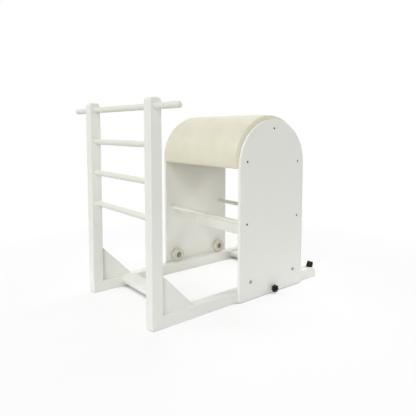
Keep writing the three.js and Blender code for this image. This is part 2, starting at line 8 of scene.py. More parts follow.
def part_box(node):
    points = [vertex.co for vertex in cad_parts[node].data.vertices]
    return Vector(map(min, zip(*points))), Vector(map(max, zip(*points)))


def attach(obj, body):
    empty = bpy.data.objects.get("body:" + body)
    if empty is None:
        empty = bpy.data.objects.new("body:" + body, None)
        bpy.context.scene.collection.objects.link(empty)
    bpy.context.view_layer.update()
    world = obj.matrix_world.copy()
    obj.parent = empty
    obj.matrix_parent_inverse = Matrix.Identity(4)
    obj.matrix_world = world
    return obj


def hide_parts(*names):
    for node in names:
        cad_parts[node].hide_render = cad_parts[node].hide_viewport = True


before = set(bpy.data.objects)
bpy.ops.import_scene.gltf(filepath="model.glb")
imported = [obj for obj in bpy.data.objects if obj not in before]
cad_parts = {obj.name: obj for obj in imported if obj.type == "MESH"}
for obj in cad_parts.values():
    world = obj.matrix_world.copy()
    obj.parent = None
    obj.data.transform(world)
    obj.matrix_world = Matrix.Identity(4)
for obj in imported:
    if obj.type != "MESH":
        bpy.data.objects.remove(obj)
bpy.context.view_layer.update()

# Metres throughout, +X from the ladder towards the barrel, +Z up.
mm = 0.001
sides = {"left": 1, "right": -1}        # left is +Y, the far side in the main view

# The camera stands where the photograph was taken from; pixels are those of a 416 x 416 frame.
photoCamera = {
    "place": (-1.56623, -1.98250, 0.90946),
    "yaw": 41.799,           # degrees from +Y towards +X
    "pitch": 4.860,          # degrees down
    "roll": 0.364,
    "focalPixels": 428.61,
    "axisPixel": (235.0, 168.05),        # where the lens axis meets the picture
    "framePixels": 416,
    "sensor": 36.0,
}


def placeCamera(shot):
    yaw, pitch, roll = (radians(shot[key]) for key in ("yaw", "pitch", "roll"))
    ahead = Vector((sin(yaw) * cos(pitch), cos(yaw) * cos(pitch), -sin(pitch)))
    level = Vector((cos(yaw), -sin(yaw), 0))
    upright = level.cross(ahead)
    right = level * cos(roll) + upright * sin(roll)
    up = upright * cos(roll) - level * sin(roll)
    pixels = shot["framePixels"]
    data = bpy.data.cameras.new("photoCamera")
    data.sensor_fit = "HORIZONTAL"
    data.sensor_width = shot["sensor"]
    data.lens = shot["focalPixels"] / pixels * shot["sensor"]
    data.shift_x = (pixels / 2 - shot["axisPixel"][0]) / pixels
    data.shift_y = (shot["axisPixel"][1] - pixels / 2) / pixels
    camera = bpy.data.objects.new("photoCamera", data)
    axes = Matrix((right, up, -ahead)).transposed().to_4x4()
    camera.matrix_world = Matrix.Translation(shot["place"]) @ axes
    bpy.context.scene.collection.objects.link(camera)
    bpy.context.scene.camera = camera


placeCamera(photoCamera)
bpy.context.scene.view_settings.view_transform = "Standard"
print("camera placed")


# Shader helpers

def linearColour(hexText):
    channels = [int(hexText[i:i + 2], 16) / 255 for i in (1, 3, 5)]
    linear = [c / 12.92 if c <= 0.04045 else ((c + 0.055) / 1.055) ** 2.4 for c in channels]
    return (*linear, 1.0)


def addNode(tree, kind, settings, links):
    # settings are the node's own properties or its inputs; links are nodes or sockets that feed its inputs
    node = tree.nodes.new("ShaderNode" + kind)
    for key, value in settings.items():
        if isinstance(key, str) and hasattr(node, key):
            setattr(node, key, value)
        else:
            node.inputs[key].default_value = value
    for key, source in links.items():
        socket = source.outputs[0] if isinstance(source, bpy.types.Node) else source
        tree.links.new(socket, node.inputs[key])
    return node


def newMaterial(name, shaderSettings):
    material = bpy.data.materials.new(name)
    material.use_nodes = True
    tree = material.node_tree
    shader = tree.nodes["Principled BSDF"]
    for key, value in shaderSettings.items():
        shader.inputs[key].default_value = value
    place = addNode(tree, "TexCoord", {}, {}).outputs["Object"]
    return material, tree, shader, place


def feed(tree, shader, colour, roughness, normal):
    tree.links.new(colour.outputs[2], shader.inputs["Base Color"])
    tree.links.new(roughness.outputs[0], shader.inputs["Roughness"])
    tree.links.new(normal.outputs[0], shader.inputs["Normal"])


middleValues = (0.3, 0.7)       # where most of a noise pattern's values lie
# How busy a noise pattern is
noiseKinds = {
    "plain": {},
    "soft": {"Detail": 1.0},
    "smeared": {"Detail": 3.0},
    "creased": {"Detail": 4.0},
    "fine": {"Detail": 3.0, "Roughness": 0.6},
    "fibrous": {"Detail": 4.0, "Roughness": 0.7},
}


def noiseTexture(tree, place, size, kind="plain"):
    return addNode(tree, "TexNoise", {"Scale": 1 / size, **noiseKinds[kind]}, {"Vector": place})


def stretched(tree, place, grainAxis, scale):
    # a pattern drawn out along the grain
    scales = [scale if axis == grainAxis else 1 for axis in range(3)]
    return addNode(tree, "Mapping", {"Scale": scales}, {"Vector": place})


def mapped(tree, source, low, high, values=(0, 1)):
    # the source's values spread over low to high
    settings = {"From Min": values[0], "From Max": values[1], "To Min": low, "To Max": high}
    return addNode(tree, "MapRange", settings, {"Value": source})


def computed(tree, operation, *operands):
    # operands are nodes, sockets or plain numbers
    settings, links = {"operation": operation}, {}
    for i, operand in enumerate(operands):
        kept = settings if isinstance(operand, (int, float)) else links
        kept[i] = operand
    return addNode(tree, "Math", settings, links)


def blended(tree, share, first, second):
    # first is a hex colour or an earlier blend, second is a hex colour
    earlier = isinstance(first, bpy.types.Node)
    settings = {"data_type": "RGBA", 7: linearColour(second)}
    links = {0: share}
    if earlier:
        links[6] = first.outputs[2]
    else:
        settings[6] = linearColour(first)
    return addNode(tree, "Mix", settings, links)


def bump(tree, height, depth, under=None, invert=False):
    links = {"Height": height}
    if under is not None:
        links["Normal"] = under
    return addNode(tree, "Bump", {"invert": invert, "Distance": depth}, links)


# White satin lacquer, sprayed in thin coats: an even off-white with a soft sheen, the faintest
# telegraphed grain along the timber, a fine orange peel, and a painted highlight that lightens the rounded
# edges.
satinLacquer = {
    "colour": "#EEEFE9",
    "thickCoat": "#F0F1EB",
    "paintedEdgeHighlight": "#F3F3EC",
    "edgeHighlightShare": 0.6,            # how far the rounded edges go to the lighter colour of the painted highlight
    "roughness": 0.42,
    "edgeRoughness": 0.32,
    "handling": 0.035,           # roughness up and down with handling
    "ior": 1.50,
    "grainWidth": 2.6 * mm,
    "grainStretch": 24,          # length of a grain line over its width
    "grainDepth": 0.035 * mm,
    "peelSize": 1.4 * mm,
    "peelDepth": 0.012 * mm,
    "cloudSize": 140 * mm,
    "smearSize": 35 * mm,
}
# The turned rungs are drawn a slightly yellower, darker white than the posts.
rungLacquer = {**satinLacquer, "colour": "#E6E6DC", "thickCoat": "#E9E9E0", "paintedEdgeHighlight": "#EAEADF"}
alongX, alongY, alongZ = 0, 1, 2


def lacquered(name, finish, grainAxis):
    material, tree, shader, place = newMaterial(name, {"IOR": finish["ior"]})
    clouds = noiseTexture(tree, place, finish["cloudSize"], "soft")
    coat = blended(tree, clouds, finish["colour"], finish["thickCoat"])
    edges = addNode(tree, "Attribute", {"attribute_name": "edgeShare"}, {}).outputs["Fac"]
    # painted highlight: the rounded edges are drawn in a lighter white
    colour = blended(tree, mapped(tree, edges, 0, finish["edgeHighlightShare"]), coat, finish["paintedEdgeHighlight"])
    smears = noiseTexture(tree, place, finish["smearSize"], "smeared")
    handled = mapped(tree, smears, -finish["handling"], finish["handling"], middleValues)
    edgeGloss = mapped(tree, edges, finish["roughness"], finish["edgeRoughness"])
    roughness = computed(tree, "ADD", handled, edgeGloss)
    normal = bump(tree, noiseTexture(tree, place, finish["peelSize"]), finish["peelDepth"])
    if grainAxis is not None:
        lines = stretched(tree, place, grainAxis, 1 / finish["grainStretch"])
        grain = noiseTexture(tree, lines, finish["grainWidth"], "fine")
        normal = bump(tree, grain, finish["grainDepth"], normal)
    feed(tree, shader, colour, roughness, normal)
    return material


# Synthetic leather over foam: matt cream, a fine pebble grain, a trace of sheen at grazing angles.
# The real pebble is about 0.9 mm; it is drawn at 1.8 mm so that it still shows in a close view.
syntheticLeather = {
    "colour": "#E5E2CF",
    "valleyShadeAndCloudColour": "#DED9C3",
    "roughness": 0.56,
    "roughnessSpread": 0.05,
    "ior": 1.46,
    "sheen": 0.06,
    "sheenRoughness": 0.45,
    "pebbleSize": 1.8 * mm,
    "pebbleDepth": 0.09 * mm,
    "pebbleValues": (0.2, 0.8),
    "valleyShadeShare": 0.35,         # how far the valleys between pebbles go to the darker colour: painted shade in the grain's hollows
    "cloudShare": 0.5,
    "creaseSize": 9 * mm,
    "creaseDepth": 0.05 * mm,
    "cloudSize": 90 * mm,
}


def embossedLeather(name, finish):
    material, tree, shader, place = newMaterial(name, {
        "IOR": finish["ior"], "Sheen Weight": finish["sheen"], "Sheen Roughness": finish["sheenRoughness"],
    })
    clouds = noiseTexture(tree, place, finish["cloudSize"])
    pebbles = addNode(tree, "TexVoronoi", {"Scale": 1 / finish["pebbleSize"]}, {"Vector": place})
    # painted shade: the valleys between the pebbles are drawn darker; the clouds add a random darker tone
    valleyShade = mapped(tree, pebbles, 0, finish["valleyShadeShare"], finish["pebbleValues"])
    depth = mapped(tree, clouds, 0, finish["cloudShare"], middleValues)
    colour = blended(tree, computed(tree, "ADD", valleyShade, depth), finish["colour"], finish["valleyShadeAndCloudColour"])
    middleRoughness, spread = finish["roughness"], finish["roughnessSpread"]
    roughness = mapped(tree, clouds, middleRoughness - spread, middleRoughness + spread, middleValues)
    grain = bump(tree, pebbles, finish["pebbleDepth"], None, True)
    creases = noiseTexture(tree, place, finish["creaseSize"], "creased")
    feed(tree, shader, colour, roughness, bump(tree, creases, finish["creaseDepth"], grain))
    return material


# Bare wood: planed, unfinished, with growth rings and darker pores along the grain.
planedTimber = {
    "colour": "#C9A877",
    "ringColour": "#A9814F",
    "roughness": 0.72,
    "poreRoughness": 0.84,
    "ior": 1.45,
    "ringWidth": 4.5 * mm,
    "ringScale": 0.1,            # scale of the ring pattern for a ring one metre wide
    "ringWaver": 3.0,
    "stretch": 0.06,             # width of a mark over its length along the grain
    "poreWidth": 0.8 * mm,
    "poreDepth": 0.06 * mm,
    "poreLeast": 0.3,            # share of the rings' tone left where there are no pores
}
# The underside of the cross boards is left raw and drawn darker than planed wood;
# it also takes in the lower rounded edge, where its dark tone is painted shade.
undersideWoodAndShade = {**planedTimber, "colour": "#A58A62", "ringColour": "#8A6F4B"}


def bareWood(name, finish, grainAxis):
    material, tree, shader, place = newMaterial(name, {"IOR": finish["ior"]})
    lines = stretched(tree, place, grainAxis, finish["stretch"])
    rings = addNode(tree, "TexWave", {
        "wave_type": "RINGS", "Scale": finish["ringScale"] / finish["ringWidth"],
        "Distortion": finish["ringWaver"],
    }, {"Vector": lines}).outputs["Fac"]
    pores = noiseTexture(tree, lines, finish["poreWidth"], "fibrous")
    poreShare = mapped(tree, pores, finish["poreLeast"], 1, middleValues)
    share = computed(tree, "MULTIPLY", rings, poreShare)
    colour = blended(tree, share, finish["colour"], finish["ringColour"])
    roughness = mapped(tree, pores, finish["roughness"], finish["poreRoughness"], middleValues)
    feed(tree, shader, colour, roughness, bump(tree, pores, finish["poreDepth"]))
    return material


# Bending plywood: thin veneers that show as rings on its edges, a loose open face inside the arch.
bendingPly = {
    "colour": "#D3B68B",
    "glueColour": "#8E6B43",
    "glueShare": 0.7,
    "glueFrom": 0.86,            # part of a veneer's thickness where its glue line starts
    "veneer": 1.5 * mm,
    "roughness": 0.78,
    "roughnessSpread": 0.05,
    "ior": 1.45,
    "fibreWidth": 1.0 * mm,
    "fibreStretch": 0.05,
    "fibreDepth": 0.08 * mm,
    "fibreShare": 0.3,
}


def plywood(name, finish, axisX, axisZ):
    material, tree, shader, place = newMaterial(name, {"IOR": finish["ior"]})
    level = {"Location": (-axisX, 0, -axisZ), "Scale": (1, 0, 1)}
    fromAxis = addNode(tree, "Mapping", level, {"Vector": place})
    radius = addNode(tree, "VectorMath", {"operation": "LENGTH"}, {0: fromAxis}).outputs["Value"]
    phase = computed(tree, "FRACT", computed(tree, "DIVIDE", radius, finish["veneer"]))
    glueLine = computed(tree, "GREATER_THAN", phase, finish["glueFrom"])
    lines = stretched(tree, place, alongY, finish["fibreStretch"])
    fibres = noiseTexture(tree, lines, finish["fibreWidth"], "fibrous")
    fibreTone = mapped(tree, fibres, 0, finish["fibreShare"], middleValues)
    share = computed(tree, "MULTIPLY_ADD", glueLine, finish["glueShare"], fibreTone)
    colour = blended(tree, share, finish["colour"], finish["glueColour"])
    middleRoughness, spread = finish["roughness"], finish["roughnessSpread"]
    roughness = mapped(tree, fibres, middleRoughness - spread, middleRoughness + spread, middleValues)
    feed(tree, shader, colour, roughness, bump(tree, fibres, finish["fibreDepth"]))
    return material


# Even materials: a colour that drifts a little to a second one over the drift's size, a roughness that
# drifts with it, and a relief of one size and depth. Further settings go straight to the shader.
evenMaterials = {
    # Cast polyurethane tyre: cloudy cream that lets light in, with a low waxy gloss.
    "castPolyurethane": {
        "colours": ("#E3E1D3", "#D6D3C2"), "drift": 7 * mm, "roughness": (0.30, 0.40),
        "relief": (1.1 * mm, 0.02 * mm),
        "shader": {"IOR": 1.50, "Subsurface Weight": 0.6, "Subsurface Scale": 0.006},
    },
    # Wheel core: olive grey nylon, much darker than the tyre.
    "oliveNylon": {
        "colours": ("#8B8773", "#777360"), "drift": 9.6 * mm, "roughness": (0.39, 0.53),
        "relief": (0.8 * mm, 0.02 * mm), "shader": {"IOR": 1.53},
    },
    # Moulded nylon: deep black with a spark-eroded texture.
    "blackNylon": {
        "colours": ("#0D0D0E", "#18191A"), "drift": 8.4 * mm, "roughness": (0.36, 0.50),
        "relief": (0.7 * mm, 0.03 * mm), "shader": {"IOR": 1.50, "Specular IOR Level": 0.2},
    },
    # Moulded rubber: dull black with a grey bloom.
    "blackRubber": {
        "colours": ("#0B0B0C", "#171718"), "drift": 11 * mm, "roughness": (0.56, 0.70),
        "relief": (0.9 * mm, 0.04 * mm), "shader": {"IOR": 1.50, "Specular IOR Level": 0.2},
    },
    # Bearing seal: dark olive rubber, slightly dusty.
    "bearingSeal": {
        "colours": ("#4A473D", "#5A564A"), "drift": 6 * mm, "roughness": (0.49, 0.63),
        "relief": (0.5 * mm, 0.02 * mm), "shader": {"IOR": 1.50},
    },
    # Bright zinc plate with a faint blue passivation.
    "zincPlatedSteel": {
        "colours": ("#A9B4B4", "#93A4A6"), "drift": 4.8 * mm, "roughness": (0.24, 0.40),
        "relief": (0.8 * mm, 0.01 * mm), "shader": {"Metallic": 1.0},
    },
    # Black oxide steel: blue-black with a low shine.
    "blackOxideSteel": {
        "colours": ("#3A3F44", "#24282B"), "drift": 4.8 * mm, "roughness": (0.36, 0.52),
        "relief": (0.8 * mm, 0.01 * mm), "shader": {"Metallic": 1.0},
    },
    # Ground bearing steel: smooth and neutral.
    "groundSteel": {
        "colours": ("#B9BABA", "#9FA1A2"), "drift": 3 * mm, "roughness": (0.16, 0.32),
        "relief": (0.5 * mm, 0.006 * mm), "shader": {"Metallic": 1.0},
    },
}


def even(name):
    finish = evenMaterials[name]
    material, tree, shader, place = newMaterial(name, finish["shader"])
    drift = noiseTexture(tree, place, finish["drift"], "fine")
    colour = blended(tree, mapped(tree, drift, 0, 1, middleValues), *finish["colours"])
    roughness = mapped(tree, drift, *finish["roughness"], middleValues)
    size, depth = finish["relief"]
    feed(tree, shader, colour, roughness, bump(tree, noiseTexture(tree, place, size, "fine"), depth))
    return material


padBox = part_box("barrel_pad")
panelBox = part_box("right_side_panel")
archRadius = (panelBox[1].x - panelBox[0].x) / 2
archX = (panelBox[1].x + panelBox[0].x) / 2
archZ = panelBox[1].z - archRadius

finishes = {
    "uprightTimber": lacquered("lacqueredBeechUpright", satinLacquer, alongZ),
    "railTimber": lacquered("lacqueredBeechRail", satinLacquer, alongX),
    "rungTimber": lacquered("lacqueredBeechRung", rungLacquer, alongY),
    "board": lacquered("lacqueredFibreboard", satinLacquer, None),
    "rawBoard": bareWood("boardUndersideAndPaintedShade", undersideWoodAndShade, alongY),
    "leather": embossedLeather("embossedSyntheticLeather", syntheticLeather),
    "batten": bareWood("planedPine", planedTimber, alongY),
    "plywood": plywood("bendingPlywood", bendingPly, archX, archZ),
}
for name in evenMaterials:
    finishes[name] = even(name)
print("materials made")


# Mesh helpers

weld = {"merge": 0.003 * mm, "collapse": 0.002 * mm}
facets = {"tyre": 64, "rung": 56, "round": 48, "medium": 40, "small": 32}       # sides of a turned piece
onAxis = 1e-7                # radius below which a ring is one point
straightOn = 1e-5            # turn below which an outline runs straight on
longestCut = 0.45            # share of a profile's side that its rounded corner may take
sharpFrom = 38               # degrees between faces from which an edge stays sharp


def meshFrom(vertices, faces, edgeValues=None):
    mesh = bpy.data.meshes.new("form")
    mesh.from_pydata([tuple(v) for v in vertices], [], faces)
    if edgeValues:
        attribute = mesh.attributes.new("edgeShare", "FLOAT", "POINT")
        attribute.data.foreach_set("value", edgeValues)
    work = bmesh.new()
    work.from_mesh(mesh)
    bmesh.ops.remove_doubles(work, verts=work.verts, dist=weld["merge"])
    bmesh.ops.dissolve_degenerate(work, edges=work.edges, dist=weld["collapse"])
    bmesh.ops.recalc_face_normals(work, faces=work.faces)
    work.to_mesh(mesh)
    work.free()
    return mesh


def linked(name, data):
    piece = bpy.data.objects.new(name, data)
    bpy.context.scene.collection.objects.link(piece)
    return piece


def evaluatedMesh(piece):
    bpy.context.view_layer.update()
    return bpy.data.meshes.new_from_object(piece.evaluated_get(bpy.context.evaluated_depsgraph_get()))


def combined(mesh, cutters, operation="DIFFERENCE"):
    # cuts every cutter mesh from the mesh, or keeps only what they share, or joins them to it
    piece = linked("combining", mesh)
    tools = [linked("cutter", cutter) for cutter in cutters]
    for tool in tools:
        step = piece.modifiers.new("cut", "BOOLEAN")
        step.object = tool
        step.operation = operation
        step.solver = "EXACT"
    result = evaluatedMesh(piece)
    for item in [piece, *tools]:
        bpy.data.objects.remove(item)
    return result


def softened(mesh, sharpDegrees=sharpFrom):
    # smooth shading that keeps flat faces flat and real corners sharp
    mesh.polygons.foreach_set("use_smooth", [True] * len(mesh.polygons))
    mesh.set_sharp_from_angle(angle=radians(sharpDegrees))
    piece = linked("softening", mesh)
    step = piece.modifiers.new("flat faces first", "WEIGHTED_NORMAL")
    step.keep_sharp = True
    result = evaluatedMesh(piece)
    bpy.data.objects.remove(piece)
    return result


def addPiece(name, mesh, body, node, *coats):
    # coats are finishes in the order of the mesh's slots; node is the CAD solid that the piece stands for
    mesh.name = name
    mesh.materials.clear()
    for coat in coats:
        mesh.materials.append(finishes[coat])
    piece = linked(name, mesh)
    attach(piece, body)
    if node:
        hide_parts(node)
    return piece


def named(node):
    # a piece's name from the name of its solid
    first, *rest = node.split("_")
    return first + "".join(word.title() for word in rest)


def middle(node):
    low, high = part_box(node)
    return (low + high) / 2


def roundSize(node):
    # radius and half length of a round solid whose axis runs along Y
    low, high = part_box(node)
    return (high.z - low.z) / 2, (high.y - low.y) / 2


def quarterTurn(steps):
    return [radians(90) * step / steps for step in range(steps + 1)]


def arc(centreX, centreZ, radius, start, end, steps):
    # points of an arc in degrees, both ends included
    angles = [radians(start + (end - start) * i / steps) for i in range(steps + 1)]
    return [(centreX + radius * cos(a), centreZ + radius * sin(a)) for a in angles]


def easedOutline(corners, steps=7):
    # corners are (x, z, radius, share of the edge easing on the side that starts there)
    points, shares = [], []
    for i, (x, z, radius, share) in enumerate(corners):
        here = Vector((x, z))
        if radius <= 0:
            points.append(here)
            shares.append(share)
            continue
        back = (Vector(corners[i - 1][:2]) - here).normalized()
        on = (Vector(corners[(i + 1) % len(corners)][:2]) - here).normalized()
        half = back.angle(on) / 2
        centre = here + (back + on).normalized() * (radius / sin(half))
        reach = radius / tan(half)
        first, last = here + back * reach - centre, here + on * reach - centre
        turn = first.angle_signed(last)
        for step in range(steps + 1):
            spin = Matrix.Rotation(-turn * step / steps, 2)
            points.append(centre + spin @ first)
            shares.append(share if step == steps else max(share, corners[i - 1][3]))
    return [tuple(p) for p in points], shares


def insetOutline(points, shares, distance):
    # every side moves inwards by its share of the distance, and the corners follow
    moved = []
    for i, point in enumerate(points):
        here = Vector(point)
        came = (here - Vector(points[i - 1])).normalized()
        goes = (Vector(points[(i + 1) % len(points)]) - here).normalized()
        inCame = Vector((-came.y, came.x)) * shares[i - 1] * distance
        inGoes = Vector((-goes.y, goes.x)) * shares[i] * distance
        turn = came.cross(goes)
        if abs(turn) < straightOn:
            moved.append(here + inGoes)
        else:
            moved.append(here + inCame + came * ((inGoes - inCame).cross(goes) / turn))
    return moved


def bandFaces(levels, count):
    # quads between rings that have equally many points
    faces = []
    for level in range(levels - 1):
        for i in range(count):
            a, b = level * count + i, level * count + (i + 1) % count
            faces.append((a, b, b + count, a + count))
    return faces


def cappedFaces(levels, count):
    last = range((levels - 1) * count, levels * count)
    return [*bandFaces(levels, count), tuple(range(count)), tuple(reversed(last))]


def slab(points, lowY, highY, easing=0, steps=4, shares=None):
    # outline in x and z, counter-clockwise, carried along Y, with the edges of both faces rounded
    levels = [(easing * (1 - cos(a)), easing * (1 - sin(a)), sin(2 * a))
              for a in quarterTurn(steps)]
    if easing <= 0:
        levels = levels[:1]
    rings = [(highY - down, inset, edge) for down, inset, edge in levels]
    rings += [(lowY + down, inset, edge) for down, inset, edge in reversed(levels)]
    shares = shares or [1] * len(points)
    vertices, edgeValues = [], []
    for y, inset, edge in rings:
        ring = insetOutline(points, shares, inset) if inset > 0 else [Vector(p) for p in points]
        vertices += [(p.x, y, p.y) for p in ring]
        edgeValues += [edge] * len(points)
    return meshFrom(vertices, cappedFaces(len(rings), len(points)), edgeValues)


def onRing(centre, radius, along, angle):
    return Vector(centre) + Vector((radius * sin(angle), along, radius * cos(angle)))


def turned(profile, steps=facets["round"], centre=(0, 0, 0), outwards=1, closed=False):
    # profile is (radius, place along the axis); the axis runs along Y through centre, outwards + or -
    vertices, faces, rings = [], [], []
    for radius, along in profile:
        if radius < onAxis:
            rings.append([len(vertices)])
            vertices.append(onRing(centre, 0, outwards * along, 0))
            continue
        rings.append(list(range(len(vertices), len(vertices) + steps)))
        vertices += [onRing(centre, radius, outwards * along, tau * i / steps) for i in range(steps)]
    pairs = list(zip(rings, rings[1:] + rings[:1])) if closed else list(zip(rings, rings[1:]))
    for first, second in pairs:
        for i in range(steps):
            j = (i + 1) % steps
            here, there = [[ring[k % len(ring)] for k in (i, j)] for ring in (first, second)]
            face = tuple(dict.fromkeys([*here, *reversed(there)]))
            if len(face) > 2:
                faces.append(face)
    return meshFrom(vertices, faces)


def mirrored(points):
    # a profile and its mirror image beyond the middle of the axis
    return points + [(radius, -along) for radius, along in reversed(points)]


def easedProfile(points, radius, steps=4, closed=False):
    # turned profile with its inner corners rounded by one small radius
    smooth = []
    for i, point in enumerate(points):
        here = Vector(point)
        if not closed and i in (0, len(points) - 1):
            smooth.append(tuple(here))
            continue
        back = Vector(points[i - 1]) - here
        on = Vector(points[(i + 1) % len(points)]) - here
        cut = min(radius, back.length * longestCut, on.length * longestCut)
        first, last = here + back.normalized() * cut, here + on.normalized() * cut
        for step in range(steps + 1):
            t = step / steps
            smooth.append(tuple(first * (1 - t) ** 2 + here * 2 * t * (1 - t) + last * t * t))
    return smooth


def threaded(radius, depth, pitch, start, end):
    # zigzag of a thread's flanks between two places along the axis
    count = max(2, int(abs(end - start) / pitch))
    points = []
    for i in range(count):
        points.append((radius - depth, start + (end - start) * i / count))
        points.append((radius, start + (end - start) * (i + 0.5) / count))
    return points + [(radius - depth, end)]


def lobedRing(centre, outwards, levels, mean, depth, lobes, pointsPerLobe):
    # closed body whose outline swells and narrows round it; levels are (place along, size share)
    steps = pointsPerLobe * lobes
    vertices = []
    for along, size in levels:
        for i in range(steps):
            angle = tau * i / steps
            radius = (mean + depth * cos(lobes * angle)) * size
            vertices.append(onRing(centre, radius, outwards * along, angle))
    return meshFrom(vertices, cappedFaces(len(levels), steps))


def crossRecess(centre, driver):
    # the two crossed slots of a driver recess, sunk into a face at centre
    span, width, depth = driver["crossSpan"] / 2, driver["crossWidth"] / 2, driver["crossDepth"]
    arms = []
    for along, across in ((span, width), (width, span)):
        points = [(-along, -across), (along, -across), (along, across), (-along, across)]
        arm = slab(points, -depth, depth)
        arm.transform(Matrix.Translation(centre))
        arms.append(arm)
    return arms


# Ladder: posts, rails, gussets, boards, rungs

timber = {
    "edge": 4 * mm,
    "postEdge": 6 * mm,
    "footEase": 0.7,             # share of the edge radius at the feet
    "railFootEase": 0.3,
    "topCorner": 20 * mm,
    "footCorner": 6 * mm,
    "railEnd": 45 * mm,
    "railEndSteps": 12,
    "stepWidth": 0.005 * mm,     # where the post's rounded edge ends at its square foot
}


def buildPost(side):
    low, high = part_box(f"{side}_post")
    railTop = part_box(f"{side}_rail")[1].z
    stepX = high.x - timber["stepWidth"]
    points, shares = easedOutline([
        (low.x, low.z, timber["footCorner"], timber["footEase"]),
        (high.x, low.z, 0, 0),
        (high.x, railTop, 0, 0),
        (stepX, railTop, 0, 1),
        (stepX, high.z, timber["topCorner"], 1),
        (low.x, high.z, timber["topCorner"], 1),
    ])
    mesh = softened(slab(points, low.y, high.y, timber["postEdge"], shares=shares))
    addPiece(f"{side}UprightPost", mesh, "frame", f"{side}_post", "uprightTimber")


def railMesh(side):
    low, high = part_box(f"{side}_rail")
    points, shares = easedOutline([
        (low.x, low.z, 0, timber["railFootEase"]),
        (high.x, low.z, timber["edge"], 1),
        (high.x, high.z, timber["railEnd"], 1),
        (low.x, high.z, 0, 0),
    ], timber["railEndSteps"])
    return slab(points, low.y, high.y, timber["edge"], shares=shares)


gusset = {"edge": 1.6 * mm, "tip": 1.2 * mm, "tipSteps": 3}


def buildGusset(side):
    low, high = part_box(f"{side}_gusset")
    points, shares = easedOutline([
        (low.x, low.z, 0, 0),
        (high.x, low.z, gusset["tip"], 1),
        (low.x, high.z, gusset["tip"], 0),
    ], gusset["tipSteps"])
    mesh = softened(slab(points, low.y, high.y, gusset["edge"], shares=shares))
    addPiece(f"{side}GussetPanel", mesh, "frame", f"{side}_gusset", "board")


board = {"edge": 3 * mm, "shadedUndersideSlope": -0.35}


def buildBoard(node, body, undersideWoodAndShade=False):
    low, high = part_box(node)
    corners = [(low.x, low.z), (high.x, low.z), (high.x, high.z), (low.x, high.z)]
    points, shares = easedOutline([(x, z, board["edge"], 1) for x, z in corners])
    mesh = softened(slab(points, low.y, high.y, shares=shares))
    piece = addPiece(named(node), mesh, body, node, "board", "rawBoard")
    for face in piece.data.polygons:
        # the dark raw finish reaches up onto the lower rounded edge, where it is painted shade along the
        # board's foot
        face.material_index = 1 if undersideWoodAndShade and face.normal.z < board["shadedUndersideSlope"] else 0


rung = {"tipSteps": 10}


def buildRung(node, body, roundTips=False):
    radius, half = roundSize(node)
    profile = [(0, -half), (radius, -half)]
    if roundTips:
        angles = quarterTurn(rung["tipSteps"])
        profile = [(radius * sin(a), -half + radius * (1 - cos(a))) for a in angles]
    mesh = softened(turned(mirrored(profile), facets["rung"], middle(node)))
    addPiece(named(node), mesh, body, node, "rungTimber")


# The end stop leans rearwards on the rail's rounded end, and its foot follows the rail.
endStop = {
    "tilt": 18,                  # degrees
    "base": 21 * mm, "top": 18 * mm, "height": 33 * mm, "foot": 8 * mm, "rim": 2.2 * mm, "rimSteps": 6,
    "recess": 10 * mm, "recessDepth": 22 * mm, "sharpFrom": 50,
}
stopScrew = {
    "head": 7 * mm, "headHeight": 4 * mm, "crown": 0.3 * mm, "crownShare": 0.72,
    "shank": 3 * mm, "grip": 35 * mm, "thread": (0.7 * mm, 2.4 * mm),
    "crossWidth": 1.3 * mm, "crossSpan": 6.5 * mm, "crossDepth": 1.8 * mm,
}
uprightAxis = Matrix.Rotation(radians(90), 4, "X")     # stands a piece turned about Y on its end


def buildEndStop(side):
    # built upright from the middle of its seat, then leant over
    lean = radians(endStop["tilt"])
    low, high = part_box(f"{side}_rail")
    seat = Vector((high.x - timber["railEnd"] * (1 - sin(lean)), (low.y + high.y) / 2,
                   high.z - timber["railEnd"] * (1 - cos(lean))))
    place = Matrix.Translation(seat) @ Matrix.Rotation(lean, 4, "Y") @ uprightAxis
    base, top, height, foot, recess = (endStop[key] for key in ("base", "top", "height", "foot", "recess"))
    floor = height - endStop["recessDepth"]
    outer = [(0, -foot), (base, -foot), (top, height), (recess, height), (recess, floor), (0, floor)]
    mesh = turned(easedProfile(outer, endStop["rim"], endStop["rimSteps"]))
    mesh.transform(place)
    mesh = softened(combined(mesh, [railMesh(side)]), endStop["sharpFrom"])
    addPiece(f"{side}EndStop", mesh, "frame", f"{side}_end_stop", "blackRubber")
    head, shank, grip = stopScrew["head"], stopScrew["shank"], stopScrew["grip"]
    crown = floor + stopScrew["headHeight"]
    profile = [(0, -grip), *threaded(shank, *stopScrew["thread"], shank - grip, floor - shank),
               (shank, floor), (head, floor), (head, floor + stopScrew["headHeight"] / 2),
               (head * stopScrew["crownShare"], crown - stopScrew["crown"]), (0, crown)]
    screw = combined(turned(profile, facets["small"]), crossRecess((0, crown, 0), stopScrew))
    screw.transform(place)
    addPiece(f"{side}StopScrew", softened(screw), "frame", f"{side}_end_stop_screw", "zincPlatedSteel")


for side in sides:
    buildPost(side)
    addPiece(f"{side}FloorRail", softened(railMesh(side)), "frame", f"{side}_rail", "railTimber")
    buildGusset(side)
    buildEndStop(side)
buildBoard("front_cross_board", "frame", True)
buildBoard("rear_cross_board", "frame", True)
buildRung("top_rung", "frame", True)
for number in (2, 3, 4):
    buildRung(f"rung_{number}", "frame")
print("ladder built")


# Barrel carriage: panels and their screws, dowels, stretcher

fixings = ("top_batten", "front_batten", "rear_batten", "front_dowel", "rear_dowel")
panel = {"edge": 0.9 * mm, "footCorner": 6 * mm, "archSteps": 96, "footSteps": 8}
panelScrew = {
    "head": 6 * mm, "headDepth": 3.6 * mm, "rim": 0.3 * mm, "rimEase": 0.2 * mm, "sunk": 0.35 * mm,
    "shank": 2.4 * mm, "clearance": 0.25 * mm, "thread": (0.6 * mm, 2.2 * mm),
    "crossSpan": 6 * mm, "crossWidth": 1.2 * mm, "crossDepth": 1.7 * mm,
}


def outerFace(side):
    # the face of a side panel that looks away from the barrel
    low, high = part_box(f"{side}_side_panel")
    return high.y if sides[side] > 0 else low.y


